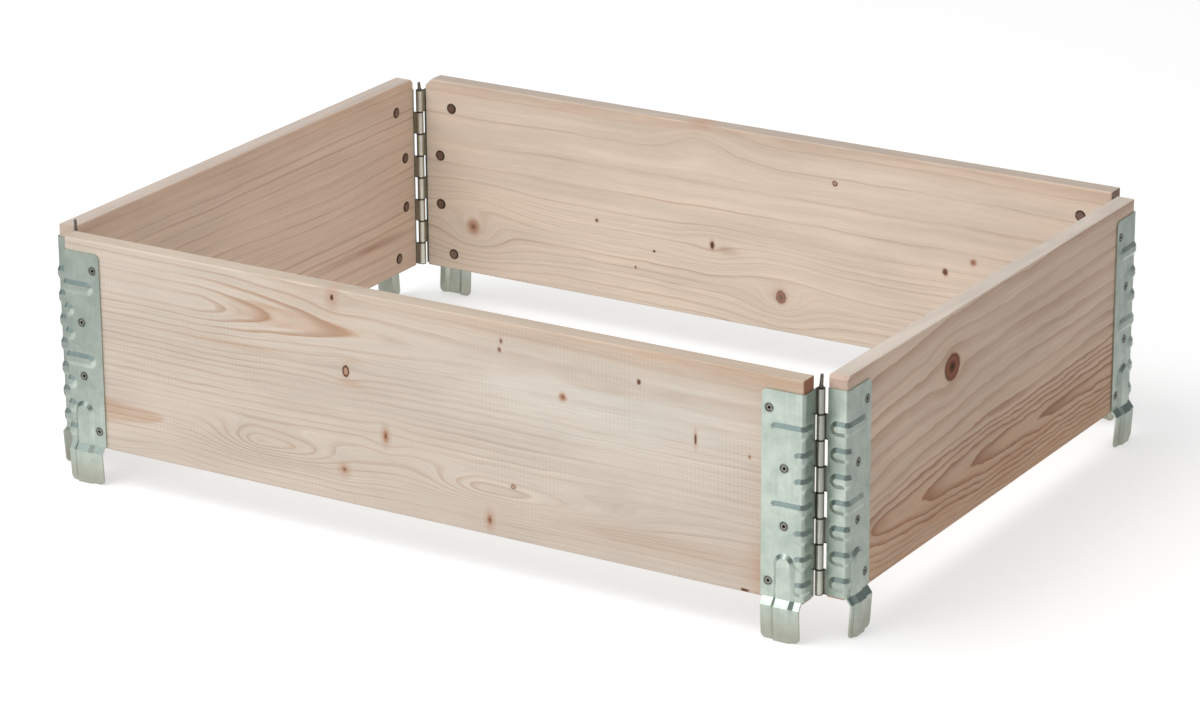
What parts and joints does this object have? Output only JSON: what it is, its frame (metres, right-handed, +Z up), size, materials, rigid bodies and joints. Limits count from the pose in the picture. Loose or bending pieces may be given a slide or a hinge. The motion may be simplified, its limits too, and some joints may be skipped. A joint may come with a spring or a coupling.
{
  "type": "pallet collar",
  "caption": "Folding pallet collar: wooden boards joined at the corners by stamped sheet-metal hinges with pins and stepped feet that locate it on a pallet or on another collar.",
  "frame": {"origin": "centre of the footprint, level with the tips of the feet that the collar stands on", "axes": "+X along the long boards, +Y from the front long board to the back one, +Z up"},
  "size_m": [0.8172, 0.6172, 0.2375],
  "materials": {
    "spruce_board": "sawn spruce, untreated",
    "galvanised_sheet": "galvanised, pressed",
    "pin_steel": "drawn wire, zinc plated",
    "rivet_steel": "browned steel"
  },
  "bodies": {
    "front_side": {"front_board": "spruce_board", "front_board_left_leaf": "galvanised_sheet", "front_board_right_leaf": "galvanised_sheet", "front_board_left_rivets": "rivet_steel", "front_board_right_rivets": "rivet_steel", "front_left_hinge_pin": "pin_steel", "front_right_hinge_pin": "pin_steel"},
    "right_side": {"right_board": "spruce_board", "right_board_front_leaf": "galvanised_sheet", "right_board_back_leaf": "galvanised_sheet", "right_board_front_rivets": "rivet_steel", "right_board_back_rivets": "rivet_steel"},
    "back_side": {"back_board": "spruce_board", "back_board_right_leaf": "galvanised_sheet", "back_board_left_leaf": "galvanised_sheet", "back_board_right_rivets": "rivet_steel", "back_board_left_rivets": "rivet_steel", "back_right_hinge_pin": "pin_steel", "back_left_hinge_pin": "pin_steel"},
    "left_side": {"left_board": "spruce_board", "left_board_back_leaf": "galvanised_sheet", "left_board_front_leaf": "galvanised_sheet", "left_board_back_rivets": "rivet_steel", "left_board_front_rivets": "rivet_steel"}
  },
  "joints": [
    {"name": "front_right_hinge", "type": "hinge", "parent": "front_side", "child": "right_side", "pos_m": [0.3772, -0.2772, 0.1315], "axis": [0, 0, 1], "range_deg": [-90, 90]},
    {"name": "back_right_hinge", "type": "hinge", "parent": "right_side", "child": "back_side", "pos_m": [0.3772, 0.2772, 0.1315], "axis": [0, 0, 1], "range_deg": [-90, 90]},
    {"name": "front_left_hinge", "type": "hinge", "parent": "front_side", "child": "left_side", "pos_m": [-0.3772, -0.2772, 0.1315], "axis": [0, 0, 1], "range_deg": [-90, 90]}
  ],
  "couplings": [
    {"joint": "back_right_hinge", "follows": "front_right_hinge", "ratio": -1},
    {"joint": "front_left_hinge", "follows": "front_right_hinge", "ratio": 1}
  ]
}
